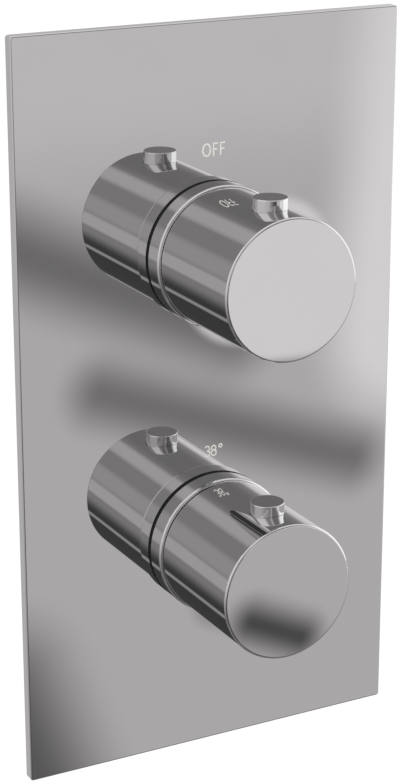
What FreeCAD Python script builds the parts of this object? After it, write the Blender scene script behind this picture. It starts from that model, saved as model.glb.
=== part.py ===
import FreeCAD, Part
import math
import os

# Concealed thermostatic shower valve with two knobs on one rectangular wall plate.
# The upper knob opens and shuts the water, the lower one sets its temperature.
#
# +X is to the right, +Y goes into the wall and +Z is up. The drawing below is laid out from
# the back face of the plate, and every piece is then shifted by the body's depth, so the
# finished part has its origin between the two fixing holes, on the back of the valve body.

V = FreeCAD.Vector

# ---------------------------------------------------------------- driving dimensions, in mm

# Plate
plate_width = 110.0
plate_height = 200.0
plate_thick = 3.0
plate_corner = 0.8
plate_edge = 0.4
gasket_margin = 3.0
gasket_band = 5.0
gasket_thick = 1.5

# Knobs and their collars
knob_spacing = 80.0
knob_radius = 18.35
knob_length = 34.6
knob_wall = 2.75
knob_front = 3.0
knob_front_edge = 0.6
knob_rear_edge = 0.4
knob_inner_edge = 1.0
knob_seam = 0.4
collar_radius = 19.0
collar_length = 5.5
collar_edge = 0.8
seal_radius = 18.8
seal_thick = 0.8
seal_edge = 0.3
sleeve_radius = 17.4
sleeve_wall = 1.5
sleeve_depth = 19.0

# Push buttons on the knobs
button_radius = 4.45
button_height = 2.8
button_setback = 11.3
button_travel = 1.8
button_flange = 1.0
button_flange_thick = 1.2
button_edge = 0.25

# Stop slide and its spring, under each button
slide_width = 11.0
slide_thick = 1.6
slide_nose = 5.5
tooth_width = 5.0
tooth_rise = 0.9
tooth_length = 2.2
button_spring_radius = 2.5
button_spring_wire = 0.3
button_spring_turns = 4
spring_floor = 5.5

# Knob carrier and its screws
carrier_rear = 13.2
carrier_recess_radius = 8.0
carrier_recess_depth = 1.6
carrier_web = 1.6
carrier_screw_radius = 2.0
carrier_screw_head = 3.6
carrier_screw_head_thick = 2.4
carrier_screw_length = 9.0
carrier_screw_socket = 3.0
carrier_screw_socket_depth = 1.6
grub_radius = 2.0
grub_length = 5.0
grub_setback = 6.0
grub_socket = 2.0
grub_socket_depth = 2.0

# Spindles and bonnets
spindle_radius = 4.5
spline_teeth = 20
spline_depth = 0.45
spline_length = 10.0
spindle_tip = 24.0
neck_front = 12.4
neck_radius = 8.9
neck_teeth = 24
neck_tooth_depth = 0.5
neck_teeth_lead = 1.0
bonnet_hex = 24.0
bonnet_hex_front = 2.0
bonnet_hex_back = 4.0
bonnet_flange = 14.2
thread_length = 14.0
clip_radius = 6.2
clip_thick = 0.6
clip_gap = 2.6
clip_groove = 0.7
spindle_oring_place = 2.0
spindle_oring_section = 0.9
bonnet_oring_section = 1.0
bonnet_oring_setback = 2.0
groove_share = 1.2

# Stop rings
stop_ring_place = 8.6
stop_ring_thick = 2.6
stop_rim_outer = 15.2
stop_rim_inner = 12.6
stop_rim_front = 12.8
flow_window = (0.0, 90.0)
temperature_window = (-190.0, 80.0)

# Valve body
body_front = 6.0
body_depth = 64.0
neck_outer = 15.7
neck_back = 21.0
barrel_radius = 18.5
barrel_edge = 2.0
chamber_radius = 12.5
barrel_floor = 3.0
port_depth = 38.0
boss_radius = 13.2
boss_crown = 1.2
boss_hex = 27.0
boss_hex_length = 10.0
boss_bevel = 0.8
inlet_reach = 48.0
inlet_offset = 16.0
outlet_reach = 48.0
thread_bore = 9.3
port_thread = 15.0
pocket_radius = 8.5
pocket_end = 16.0
gallery_offset = 5.2
gallery_radius = 3.2
gallery_inset = 5.0
outlet_passage = 7.0
column_setback = 10.0
column_radius = 9.5
transfer_radius = 5.0
seat_depth = 46.0
seat_thick = 2.0
seat_radius = 6.5
rear_pocket_radius = 9.0
rib_thick = 7.0
rib_front = 34.0
lug_spacing = 38.0
lug_radius = 8.0
lug_thick = 8.0
lug_hole = 2.75

# Ceramic disc cartridge behind the upper knob
disc_radius = 7.9
disc_bore = 8.0
disc_hub = 2.4
disc_thick = 4.0
disc_front = 31.5
disc_slot_depth = 1.5
disc_port_outer = 6.8
disc_port_angle = 80.0
disc_sector_angle = 90.0
flow_stem_radius = 9.6
flow_bonnet_back = 45.2
flow_window_front = 27.5
flow_window_angle = 80.0
driver_thick = 3.2
driver_width = 4.0
driver_reach = 6.5
driver_flat = 5.0
base_seal_inner = 5.2

# Thermostatic cartridge behind the lower knob
screw_radius = 4.2
screw_flange = 6.2
screw_flange_thick = 1.8
screw_flange_place = 8.2
screw_end = 19.0
screw_pitch = 3.0
nut_radius = 7.9
nut_bore = 8.2
nut_back = 27.0
nut_floor = 20.0
nut_floor_thick = 1.5
nut_pocket = 5.5
key_reach = 9.2
key_width = 3.0
key_length = 7.0
overload_spring_radius = 4.2
overload_spring_wire = 0.5
overload_spring_turns = 3
bonnet_tail_back = 27.0
sleeve_back = 50.5
sleeve_bore = 9.5
gallery_depth = 1.5
slot_length = 3.1
slot_angle = 40.0
slot_count = 4
cold_slot_front = 32.5
hot_slot_front = 40.4
ring_land = 1.6
ring_section = 0.9
shuttle_front = 34.9
shuttle_length = 6.2
shuttle_wall = 1.4
shuttle_web_front = 36.0
shuttle_web_thick = 2.0
shuttle_holes = 6
shuttle_hole_radius = 0.9
element_radius = 5.0
element_neck = 3.8
element_nose = 1.5
element_front = 30.0
element_length = 16.0
element_flange = 6.0
element_flange_thick = 2.0
piston_radius = 1.5
piston_head = 5.2
piston_head_front = 26.3
piston_head_thick = 1.2
piston_depth = 3.0
return_spring_radius = 7.1
return_spring_wire = 0.55
return_spring_turns = 4
end_cap_thick = 2.5
end_cap_bore = 6.4

# Non-return valves and strainers in the inlets
cage_setback = 1.0
cage_wall = 1.3
cage_seat_thick = 2.0
cage_seat_radius = 4.5
cage_spider_thick = 1.5
cage_bush = 2.6
cage_arm = 1.6
cage_arms = 3
poppet_radius = 5.8
poppet_thick = 1.2
poppet_stem = 1.2
poppet_travel = 3.0
poppet_nose_chamfer = 0.6
stem_guide = 2.5
check_spring_radius = 3.6
check_spring_wire = 0.3
check_spring_turns = 4
strainer_thick = 0.5
strainer_rim = 1.1
strainer_wall = 1.0

# Chamfers on turned and moulded edges
small_chamfer = 0.5
tiny_chamfer = 0.25

# Clearances between pieces
running = 0.05
sliding = 0.1
loose = 0.2
free = 0.3
plate_play = 0.3

# ---------------------------------------------------------------- places worked out from them

plate_front = -plate_thick
collar_back = plate_front - seal_thick
collar_front = collar_back - collar_length
knob_rear = collar_front - knob_seam
knob_face = knob_rear - knob_length
knob_bore = knob_radius - knob_wall
sleeve_bore_radius = sleeve_radius - sleeve_wall
button_place = knob_face + button_setback
flange_top = math.sqrt(knob_bore ** 2 - (button_radius + button_flange) ** 2) - free
slide_top = flange_top - button_flange_thick
slide_bottom = slide_top - slide_thick
slot_floor = slide_bottom - button_travel - free
carrier_front = knob_face + knob_front + free
axis_heights = {"flow": knob_spacing / 2, "temp": -knob_spacing / 2}
windows = {"flow": flow_window, "temp": temperature_window}
nut_forward = screw_pitch * temperature_window[1] / 360
nut_front = screw_flange_place + screw_flange_thick + nut_forward + free
end_cap_front = sleeve_back - end_cap_thick
chamber_back = body_depth - barrel_floor
column_depth = body_depth - column_setback


# ---------------------------------------------------------------- shapes used by many pieces

def outline(corners, rounded):
    """Closed outline in the XY plane through (x, y, size) corners, each rounded or chamfered by its size."""
    edges = []
    ends = []
    for i, (x, y, size) in enumerate(corners):
        here = V(x, y, 0)
        before = V(corners[i - 1][0], corners[i - 1][1], 0)
        after = V(corners[(i + 1) % len(corners)][0], corners[(i + 1) % len(corners)][1], 0)
        to_before = (before - here).normalize()
        to_after = (after - here).normalize()
        half = to_before.getAngle(to_after) / 2
        reach = size / math.tan(half) if rounded else size
        start = here + to_before * reach
        end = here + to_after * reach
        if size > 0 and rounded:
            inward = (to_before + to_after).normalize()
            middle = here + inward * (size / math.sin(half) - size)
            edges.append(Part.Arc(start, middle, end).toShape())
        elif size > 0:
            edges.append(Part.LineSegment(start, end).toShape())
        ends.append((start, end))
    for i, (start, end) in enumerate(ends):
        following = ends[(i + 1) % len(ends)][0]
        if (following - end).Length > 1e-6:
            edges.append(Part.LineSegment(end, following).toShape())
    return Part.Wire(Part.__sortEdges__(edges))


def revolved(corners, rounded):
    full = [(corner + (0.0,))[:3] for corner in corners]
    return Part.Face(outline(full, rounded)).revolve(V(0, 0, 0), V(0, 1, 0), 360)


def turned(corners):
    """Solid turned about the Y axis from (radius, y) or (radius, y, chamfer) corners."""
    return revolved(corners, False)


def softened(corners):
    """Solid turned about the Y axis from (radius, y) or (radius, y, rounding) corners."""
    return revolved(corners, True)


def rod(radius, y0, y1, x=0.0, z=0.0):
    """Cylinder along Y."""
    return Part.makeCylinder(radius, y1 - y0, V(x, y0, z), V(0, 1, 0))


def rod_z(radius, z0, z1, x, y):
    """Cylinder along Z."""
    return Part.makeCylinder(radius, z1 - z0, V(x, y, z0), V(0, 0, 1))


def block(x0, x1, y0, y1, z0, z1):
    return Part.makeBox(x1 - x0, y1 - y0, z1 - z0, V(x0, y0, z0))


def prism(radii, y0, y1, turn=0.0):
    """Prism along Y whose corners lie at the given radii, evenly spaced around the axis."""
    step = 2 * math.pi / len(radii)
    points = [V(r * math.cos(i * step + turn), y0, r * math.sin(i * step + turn))
              for i, r in enumerate(radii)]
    face = Part.Face(Part.makePolygon(points + [points[0]]))
    return face.extrude(V(0, y1 - y0, 0))


def hexagon(across_flats, y0, y1, turn=0.0):
    return prism([across_flats / math.sqrt(3)] * 6, y0, y1, turn)


def serration(tip, depth, teeth, y0, y1):
    """Toothed prism of pointed teeth, as on a tap spindle."""
    return prism([tip, tip - depth] * teeth, y0, y1)


def wedge(radius, middle, width, y0, y1):
    """Sector about the Y axis. Angles in degrees, from +Z and counter-clockwise seen from the front."""
    start = math.radians(middle - width / 2)
    end = math.radians(middle + width / 2)
    centre = math.radians(middle)

    def place(angle):
        return V(-radius * math.sin(angle), y0, radius * math.cos(angle))

    hub = V(0, y0, 0)
    edges = [Part.LineSegment(hub, place(start)).toShape(),
             Part.Arc(place(start), place(centre), place(end)).toShape(),
             Part.LineSegment(place(end), hub).toShape()]
    return Part.Face(Part.Wire(edges)).extrude(V(0, y1 - y0, 0))


def oring(radius, section, y):
    """O-ring about the Y axis, given by the radius to the middle of its section."""
    circle = Part.makeCircle(section, V(radius, y, 0), V(0, 0, 1))
    return Part.Face(Part.Wire(circle)).revolve(V(0, 0, 0), V(0, 1, 0), 360)


def coil(radius, wire, length, turns):
    """Coil spring that stands on z = 0, wound from wire of that radius."""
    steps = 12
    sides = 6
    equal_area = math.sqrt(math.pi / (sides / 2 * math.sin(2 * math.pi / sides)))
    rise = (length - 2 * wire * equal_area) / turns
    slope = math.atan2(rise, 2 * math.pi * radius)
    sections = []
    for k in range(turns * steps + 1):
        angle = 2 * math.pi * k / steps
        out = V(math.cos(angle), math.sin(angle), 0)
        along = V(-math.sin(angle) * math.cos(slope), math.cos(angle) * math.cos(slope), math.sin(slope))
        across = along.cross(out)
        centre = out * radius + V(0, 0, wire * equal_area + rise * k / steps)
        corners = []
        for j in range(sides):
            around = 2 * math.pi * (j + 0.5) / sides
            corners.append(centre + (out * math.cos(around) + across * math.sin(around)) * wire * equal_area)
        sections.append(Part.makePolygon(corners + [corners[0]]))
    return Part.makeLoft(sections, True, True)


def along_y(shape, y):
    """Turns a shape that stands on z = 0 to run along +Y from y."""
    shape.rotate(V(0, 0, 0), V(1, 0, 0), -90)
    shape.translate(V(0, y, 0))
    return shape


def upright(shape, down):
    """Turns a shape that was made about Y so that its +Y runs down or up."""
    shape.rotate(V(0, 0, 0), V(1, 0, 0), -90 if down else 90)
    return shape


# ---------------------------------------------------------------- plate, collars and seals

def plate():
    half_w = plate_width / 2
    half_h = plate_height / 2
    corners = [(-half_w, -half_h, plate_corner), (half_w, -half_h, plate_corner),
               (half_w, half_h, plate_corner), (-half_w, half_h, plate_corner)]
    sheet = Part.Face(outline(corners, True)).extrude(V(0, 0, plate_thick))
    front_edges = [e for e in sheet.Edges if e.BoundBox.ZMin > plate_thick - 1e-6]
    sheet = sheet.makeFillet(plate_edge, front_edges)
    sheet.rotate(V(0, 0, 0), V(1, 0, 0), 90)
    for height in axis_heights.values():
        sheet = sheet.cut(rod(sleeve_radius + plate_play, plate_front, 0, z=height))
    return sheet


def gasket():
    outer_w = plate_width / 2 - gasket_margin
    outer_h = plate_height / 2 - gasket_margin
    inner_w = outer_w - gasket_band
    inner_h = outer_h - gasket_band
    frame = block(-outer_w, outer_w, 0, gasket_thick, -outer_h, outer_h)
    return frame.cut(block(-inner_w, inner_w, 0, gasket_thick, -inner_h, inner_h))


def collar_sleeve():
    """Collar in front of the plate, in one piece with the tube that screws on the valve body."""
    collar = softened([
        (sleeve_bore_radius, collar_front),
        (collar_radius, collar_front, collar_edge),
        (collar_radius, collar_back),
        (sleeve_bore_radius, collar_back),
    ])
    tube = turned([
        (sleeve_bore_radius, collar_back),
        (sleeve_radius, collar_back),
        (sleeve_radius, sleeve_depth, small_chamfer),
        (sleeve_bore_radius, sleeve_depth),
    ])
    return collar.fuse(tube).removeSplitter()


def collar_seal():
    inner = sleeve_radius + running
    return turned([(inner, collar_back), (seal_radius, collar_back, seal_edge),
                   (seal_radius, plate_front, seal_edge), (inner, plate_front)])


# ---------------------------------------------------------------- knobs

def knob_shell():
    shell = softened([
        (0, knob_rear),
        (knob_radius, knob_rear, knob_rear_edge),
        (knob_radius, knob_face, knob_front_edge),
        (0, knob_face),
    ])
    hollow = turned([
        (0, knob_rear),
        (knob_bore, knob_rear),
        (knob_bore, knob_face + knob_front, knob_inner_edge),
        (0, knob_face + knob_front),
    ])
    button_hole = rod_z(button_radius + sliding, 0, knob_radius + 1, 0, button_place)
    grub_hole = rod_z(grub_radius, -knob_radius - 1, 0, 0, knob_rear - grub_setback)
    return shell.cut([hollow, button_hole, grub_hole])


def push_button():
    """Straight round button, held in the knob by a flange inside."""
    top = knob_radius + button_height
    flange_radius = button_radius + button_flange
    stem = softened([(0, flange_top), (button_radius, flange_top),
                     (button_radius, top, button_edge), (0, top)])
    flange = turned([(0, slide_top), (flange_radius, slide_top, tiny_chamfer),
                     (flange_radius, flange_top), (0, flange_top)])
    button = stem.fuse(flange).removeSplitter()
    button.rotate(V(0, 0, 0), V(1, 0, 0), 90)
    button.translate(V(0, button_place, 0))
    return button


def stop_slide():
    """Sliding tongue under the button, whose tooth at the rear meets the stop ring's ends."""
    half = slide_width / 2
    front = button_place - slide_nose
    tooth_back = -stop_rim_front + tooth_length
    tongue_end = -carrier_rear - running
    tongue = block(-half, half, front, tongue_end, slide_bottom, slide_top)
    arm = block(-tooth_width / 2, tooth_width / 2, tongue_end, tooth_back, slide_bottom, slide_top)
    tooth = block(-tooth_width / 2, tooth_width / 2, tongue_end + running + free, tooth_back,
                  slide_top, slide_top + tooth_rise)
    guide = rod_z(button_spring_radius - button_spring_wire - loose,
                  slide_bottom - slide_thick, slide_bottom, 0, button_place)
    return tongue.fuse([arm, tooth, guide]).removeSplitter()


def button_spring():
    spring = coil(button_spring_radius, button_spring_wire,
                  slide_bottom - spring_floor, button_spring_turns)
    spring.translate(V(0, button_place, spring_floor))
    return spring


def carrier():
    """Moulded core of the knob: it grips the spindle's splines and guides the stop slide."""
    outer = knob_bore - sliding
    core = turned([
        (0, -carrier_rear), (outer, -carrier_rear, small_chamfer),
        (outer, carrier_front, knob_inner_edge + sliding), (0, carrier_front),
    ])
    slot_half = slide_width / 2 + loose
    head_seat = -spindle_tip - carrier_web
    cuts = [
        rod(carrier_recess_radius, -carrier_rear - carrier_recess_depth, -carrier_rear),
        serration(spindle_radius + running, spline_depth, spline_teeth, -spindle_tip, -carrier_rear),
        rod(carrier_screw_radius + loose, head_seat, -spindle_tip),
        rod(carrier_screw_head + free, carrier_front, head_seat),
        block(-slot_half, slot_half, carrier_front, -carrier_rear, slot_floor, outer),
        rod_z(button_spring_radius + button_spring_wire + free, spring_floor, slot_floor, 0, button_place),
        rod_z(grub_radius - sliding, -knob_bore, -knob_bore + grub_length / 2, 0, knob_rear - grub_setback),
    ]
    return core.cut(cuts)


def carrier_screw():
    """Screw that draws the carrier on to the spindle."""
    seat = -spindle_tip - carrier_web
    head = seat - carrier_screw_head_thick
    body = turned([
        (0, head),
        (carrier_screw_head, head, small_chamfer),
        (carrier_screw_head, seat),
        (carrier_screw_radius, seat),
        (carrier_screw_radius, seat + carrier_screw_length, small_chamfer),
        (0, seat + carrier_screw_length),
    ])
    return body.cut(hexagon(carrier_screw_socket, head, head + carrier_screw_socket_depth))


def grub_screw():
    """Screw that holds the knob on its carrier, reached from below."""
    place = knob_rear - grub_setback
    low = -knob_radius + knob_wall / 2
    body = rod_z(grub_radius - running, low, -knob_bore, 0, place)
    tip = rod_z(grub_radius - sliding - running, -knob_bore, -knob_bore + grub_length / 2 - running, 0, place)
    socket = hexagon(grub_socket, 0, grub_socket_depth)
    socket.rotate(V(0, 0, 0), V(1, 0, 0), 90)
    socket.translate(V(0, place, low))
    return body.fuse(tip).removeSplitter().cut(socket)


def spindle_clip():
    """Open clip in the spindle's groove, in front of the bonnet."""
    back = -neck_front - running
    ring = rod(clip_radius, back - clip_thick, back)
    ring = ring.cut(rod(spindle_radius - clip_groove + running, back - clip_thick, back))
    return ring.cut(block(-clip_gap / 2, clip_gap / 2, back - clip_thick, back, -clip_radius, 0))


def stop_ring(window):
    """Ring on the bonnet's serrations. Its raised rim is open over the knob's travel."""
    front = -stop_ring_place
    back = front + stop_ring_thick
    ring = turned([
        (0, front), (stop_rim_inner, front), (stop_rim_inner, -stop_rim_front),
        (stop_rim_outer, -stop_rim_front, small_chamfer), (stop_rim_outer, back), (0, back),
    ])
    ring = ring.cut(serration(neck_radius + running, neck_tooth_depth, neck_teeth, front, back))
    tooth_half = math.degrees(math.asin((tooth_width / 2 + free) / slide_bottom))
    low = window[0] - tooth_half
    high = window[1] + tooth_half
    quarter = (high - low) / 4
    halves = [wedge(stop_rim_outer + 1, middle, 2 * quarter, -stop_rim_front, front)
              for middle in (low + quarter, high - quarter)]
    return ring.cut(halves)


# ---------------------------------------------------------------- spindles, bonnets and seals

def spindle_front():
    """Turned and splined front of a spindle, down to the middle of the bonnet's neck."""
    stem_end = body_front
    spline_end = -spindle_tip + spline_length
    stem = rod(spindle_radius, spline_end, stem_end)
    teeth = serration(spindle_radius, spline_depth, spline_teeth, -spindle_tip, spline_end)
    joined = stem.fuse(teeth).removeSplitter()
    clip_back = -neck_front - running
    groove_radius = spindle_radius - clip_groove
    clip_cut = rod(spindle_radius + 1, clip_back - clip_thick - running, clip_back + running)
    clip_cut = clip_cut.cut(rod(groove_radius, clip_back - clip_thick - running, clip_back + running))
    ring_cut = oring_groove(spindle_radius + running / 2, spindle_oring_section, spindle_oring_place)
    screw_hole = rod(carrier_screw_radius + running, -spindle_tip,
                     -spindle_tip + carrier_screw_length)
    return joined.cut([clip_cut, ring_cut, screw_hole])


def oring_groove(radius, section, y):
    """Ring-shaped cut into a shaft, as deep as an O-ring of that section that reaches to the radius."""
    half = section * groove_share
    groove = rod(radius + 1, y - half, y + half)
    return groove.cut(rod(radius - 2 * section, y - half, y + half))


def spindle_oring():
    """O-ring in the spindle's groove. It turns with the spindle, just clear of the bonnet's bore."""
    middle = spindle_radius + running / 2 - spindle_oring_section
    return oring(middle, spindle_oring_section, spindle_oring_place)


def bonnet_front():
    """Outside of a bonnet's front: serrated neck, hexagon, flange and thread."""
    neck = rod(neck_radius - neck_tooth_depth, -neck_front, -bonnet_hex_front)
    teeth = serration(neck_radius, neck_tooth_depth, neck_teeth,
                      -stop_ring_place - neck_teeth_lead, -bonnet_hex_front)
    spanner = hexagon(bonnet_hex, -bonnet_hex_front, bonnet_hex_back)
    flange = turned([(0, bonnet_hex_back), (bonnet_flange, bonnet_hex_back, small_chamfer),
                     (bonnet_flange, body_front), (0, body_front)])
    thread = rod(chamber_radius - loose, body_front, body_front + thread_length)
    return neck.fuse([teeth, spanner, flange, thread]).removeSplitter()


def bonnet_oring_place():
    return body_front + thread_length - bonnet_oring_setback


def bonnet_oring():
    return oring(chamber_radius - bonnet_oring_section, bonnet_oring_section, bonnet_oring_place())


def bonnet_oring_cut():
    return oring_groove(chamber_radius, bonnet_oring_section, bonnet_oring_place())


# ---------------------------------------------------------------- ceramic disc cartridge

def flow_bonnet():
    """Bonnet of the shut-off cartridge, with its two side windows for the water."""
    driver_front = disc_front - disc_slot_depth - driver_thick
    body = bonnet_front().fuse(rod(flow_stem_radius, body_front + thread_length, flow_bonnet_back))
    body = body.removeSplitter()
    cuts = [
        rod(spindle_radius + running, -neck_front, driver_front),
        rod(disc_bore, driver_front - free, flow_bonnet_back),
        bonnet_oring_cut(),
    ]
    for side in (0, 180):
        cuts.append(wedge(flow_stem_radius + 1, side, flow_window_angle, flow_window_front,
                          disc_front + disc_thick - free))
    return body.cut(cuts)


def flow_spindle():
    """Spindle with the tongue that turns the upper disc."""
    driver_front = disc_front - disc_slot_depth - driver_thick
    stem = rod(spindle_radius, body_front, driver_front)
    flange = rod(disc_bore - running - sliding, driver_front, driver_front + driver_thick)
    tongue = block(-driver_reach, driver_reach, driver_front + driver_thick, disc_front + disc_slot_depth,
                   -driver_width / 2, driver_width / 2)
    for side in (-1, 1):
        near = side * driver_flat
        far = side * disc_bore
        flange = flange.cut(block(-disc_bore, disc_bore, driver_front, driver_front + driver_thick,
                                  min(near, far), max(near, far)))
    return spindle_front().fuse([stem, flange, tongue]).removeSplitter()


def moving_disc():
    """Upper ceramic disc: two solid sectors that cover the ports of the lower disc."""
    disc = rod(disc_radius - sliding, disc_front, disc_front + disc_thick)
    openings = []
    for side in (0, 180):
        sector = wedge(disc_radius + 1, side, 180.0 - disc_sector_angle, disc_front, disc_front + disc_thick)
        openings.append(sector.cut(rod(disc_hub, disc_front, disc_front + disc_thick)))
    slot_reach = driver_reach + sliding
    slot_half = driver_width / 2 + running
    slot = block(-slot_reach, slot_reach, disc_front, disc_front + disc_slot_depth + sliding,
                 -slot_half, slot_half)
    return disc.cut(openings + [slot])


def fixed_disc():
    """Lower ceramic disc with two ports."""
    front = disc_front + disc_thick + running
    back = front + disc_thick
    disc = rod(disc_radius, front, back)
    ports = []
    for side in (90, 270):
        port = wedge(disc_port_outer, side, disc_port_angle, front, back)
        ports.append(port.cut(rod(disc_hub, front, back)))
    return disc.cut(ports)


def base_seal():
    front = disc_front + 2 * disc_thick + running
    return turned([(base_seal_inner, front), (disc_radius, front), (disc_radius, seat_depth, small_chamfer),
                   (base_seal_inner, seat_depth, small_chamfer)])


# ---------------------------------------------------------------- thermostatic cartridge

def thermo_bonnet():
    """Bonnet that holds the screw spindle and keeps its nut from turning."""
    tail = rod(sleeve_bore - sliding, body_front + thread_length, bonnet_tail_back)
    body = bonnet_front().fuse(tail).removeSplitter()
    cavity_front = screw_flange_place - free
    keyway = key_width / 2 + sliding
    cuts = [
        rod(spindle_radius + running, -neck_front, cavity_front),
        rod(nut_bore, cavity_front, bonnet_tail_back),
        block(-sleeve_bore, sleeve_bore, nut_front - nut_forward - free, bonnet_tail_back, -keyway, keyway),
        bonnet_oring_cut(),
    ]
    return body.cut(cuts)


def temperature_spindle():
    """Spindle with a thrust flange and a screw, here drawn plain, that moves the nut."""
    stem = rod(spindle_radius, body_front, screw_flange_place)
    flange = rod(screw_flange, screw_flange_place, screw_flange_place + screw_flange_thick)
    screw = rod(screw_radius, screw_flange_place + screw_flange_thick, screw_end)
    return spindle_front().fuse([stem, flange, screw]).removeSplitter()


def drive_nut():
    """Nut that the screw moves in and out. Two keys slide in the bonnet's keyways."""
    body = turned([
        (screw_radius + running, nut_front), (nut_radius, nut_front, tiny_chamfer),
        (nut_radius, nut_back, tiny_chamfer),
        (nut_pocket, nut_back), (nut_pocket, nut_floor + nut_floor_thick), (0, nut_floor + nut_floor_thick),
        (0, nut_floor), (screw_radius + running, nut_floor),
    ])
    keys = block(-key_reach, key_reach, nut_front, nut_front + key_length, -key_width / 2, key_width / 2)
    keys = keys.cut(rod(screw_radius + running, nut_front, nut_back))
    return body.fuse(keys).removeSplitter()


def overload_spring():
    start = nut_floor + nut_floor_thick
    spring = coil(overload_spring_radius, overload_spring_wire, piston_head_front - start,
                  overload_spring_turns)
    return along_y(spring, start)


def wax_piston():
    """Pin that the wax pushes out, with the head that the spring bears on."""
    head_back = piston_head_front + piston_head_thick
    tip = element_front + piston_depth
    return turned([(0, piston_head_front), (piston_head, piston_head_front, tiny_chamfer),
                   (piston_head, head_back), (piston_radius, head_back), (piston_radius, tip), (0, tip)])


def wax_element():
    """Brass cup full of wax. Its flange sits on the shuttle's web."""
    flange_front = shuttle_web_front - element_flange_thick
    floor = element_front + piston_depth + sliding
    back = element_front + element_length
    return turned([
        (piston_radius + running, element_front), (element_neck, element_front, tiny_chamfer),
        (element_neck, flange_front), (element_flange, flange_front), (element_flange, shuttle_web_front),
        (element_radius, shuttle_web_front), (element_radius, back, element_nose), (0, back),
        (0, floor), (piston_radius + running, floor),
    ])


def shuttle():
    """Ring that slides between the hot and cold slots, on a web with holes for the water."""
    outer = sleeve_bore - sliding
    inner = outer - shuttle_wall
    web_back = shuttle_web_front + shuttle_web_thick
    shuttle_back = shuttle_front + shuttle_length
    body = turned([
        (outer, shuttle_front, tiny_chamfer), (outer, shuttle_back, tiny_chamfer), (inner, shuttle_back),
        (inner, web_back),
        (element_radius + sliding, web_back), (element_radius + sliding, shuttle_web_front),
        (inner, shuttle_web_front), (inner, shuttle_front),
    ])
    ring = (inner + element_flange) / 2
    holes = []
    for i in range(shuttle_holes):
        angle = 2 * math.pi * i / shuttle_holes
        holes.append(rod(shuttle_hole_radius, shuttle_web_front, web_back,
                         ring * math.cos(angle), ring * math.sin(angle)))
    return body.cut(holes)


def return_spring():
    start = shuttle_web_front + shuttle_web_thick
    spring = coil(return_spring_radius, return_spring_wire, end_cap_front - start, return_spring_turns)
    return along_y(spring, start)


def cartridge_sleeve():
    """Sleeve with the cold and hot slots, each in its own gallery between two O-rings."""
    outer = chamber_radius - loose
    front = body_front + thread_length
    body = turned([(sleeve_bore, front), (outer, front, small_chamfer),
                   (outer, sleeve_back, small_chamfer), (sleeve_bore, sleeve_back)])
    cuts = []
    for place in ring_places():
        cuts.append(oring_groove(chamber_radius, ring_section, place))
    for centre, slot_front in ((port_depth - gallery_offset, cold_slot_front),
                               (port_depth + gallery_offset, hot_slot_front)):
        band = rod(outer + 1, centre - gallery_radius, centre + gallery_radius)
        cuts.append(band.cut(rod(outer - gallery_depth, centre - gallery_radius, centre + gallery_radius)))
        for i in range(slot_count):
            cuts.append(wedge(outer + 1, 360.0 * (i + 0.5) / slot_count, slot_angle,
                              slot_front, slot_front + slot_length))
    return body.cut(cuts)


def ring_places():
    """The three O-rings of the sleeve: before, between and behind its two galleries."""
    outside = gallery_offset + gallery_radius + ring_land
    return [port_depth - outside, port_depth, port_depth + outside]


def cartridge_rings():
    rings = [oring(chamber_radius - ring_section, ring_section, place) for place in ring_places()]
    return Part.makeCompound(rings)


def end_cap():
    outer = sleeve_bore - running
    return turned([(end_cap_bore, end_cap_front), (outer, end_cap_front),
                   (outer, sleeve_back, tiny_chamfer), (end_cap_bore, sleeve_back, tiny_chamfer)])


# ---------------------------------------------------------------- inlets: non-return valves and strainers

def cage_ends():
    """Inner and outer end of the non-return valve's cage, measured down from the housing's axis."""
    inner = pocket_end + cage_setback
    outer = inlet_reach - port_thread - 2 * strainer_rim
    return inner, outer


def check_cage():
    inner, outer = cage_ends()
    radius = pocket_radius - loose
    bore = radius - cage_wall
    seat = outer - cage_seat_thick
    body = turned([
        (bore, inner), (radius, inner, tiny_chamfer), (radius, outer, tiny_chamfer),
        (cage_seat_radius, outer), (cage_seat_radius, seat, tiny_chamfer), (bore, seat),
    ])
    bush = rod(cage_bush, inner, bush_end())
    arms = []
    for i in range(cage_arms):
        arm = block(-cage_arm / 2, cage_arm / 2, inner, inner + cage_spider_thick, 0, bore + cage_wall / 2)
        arm.rotate(V(0, 0, 0), V(0, 1, 0), 360.0 * i / cage_arms)
        arms.append(arm)
    body = body.fuse([bush] + arms).removeSplitter()
    return body.cut(rod(poppet_stem + sliding, inner, bush_end()))


def stem_start():
    """Inner end of the poppet's stem, which clears the pocket's floor when the valve is open."""
    return pocket_end + poppet_travel + free


def bush_end():
    return stem_start() + stem_guide


def poppet():
    inner, outer = cage_ends()
    face = outer - cage_seat_thick - running
    nose = face + cage_seat_thick / 2
    return turned([
        (0, stem_start()), (poppet_stem, stem_start(), tiny_chamfer), (poppet_stem, face - poppet_thick),
        (poppet_radius, face - poppet_thick), (poppet_radius, face, tiny_chamfer),
        (cage_seat_radius - free, face), (cage_seat_radius - free, nose, poppet_nose_chamfer), (0, nose),
    ])


def check_spring():
    inner, outer = cage_ends()
    start = inner + cage_spider_thick
    length = outer - cage_seat_thick - running - poppet_thick - start
    return along_y(coil(check_spring_radius, check_spring_wire, length, check_spring_turns), start)


def strainer():
    """Strainer cup in front of the non-return valve. Its mesh is drawn as a plain thin disc."""
    inner, outer = cage_ends()
    radius = pocket_radius - loose
    start = outer + running
    inside = radius - strainer_wall
    return turned([
        (0, start), (radius, start), (radius, start + strainer_rim), (inside, start + strainer_rim),
        (inside, start + strainer_thick), (0, start + strainer_thick),
    ])


# ---------------------------------------------------------------- valve body

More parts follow.
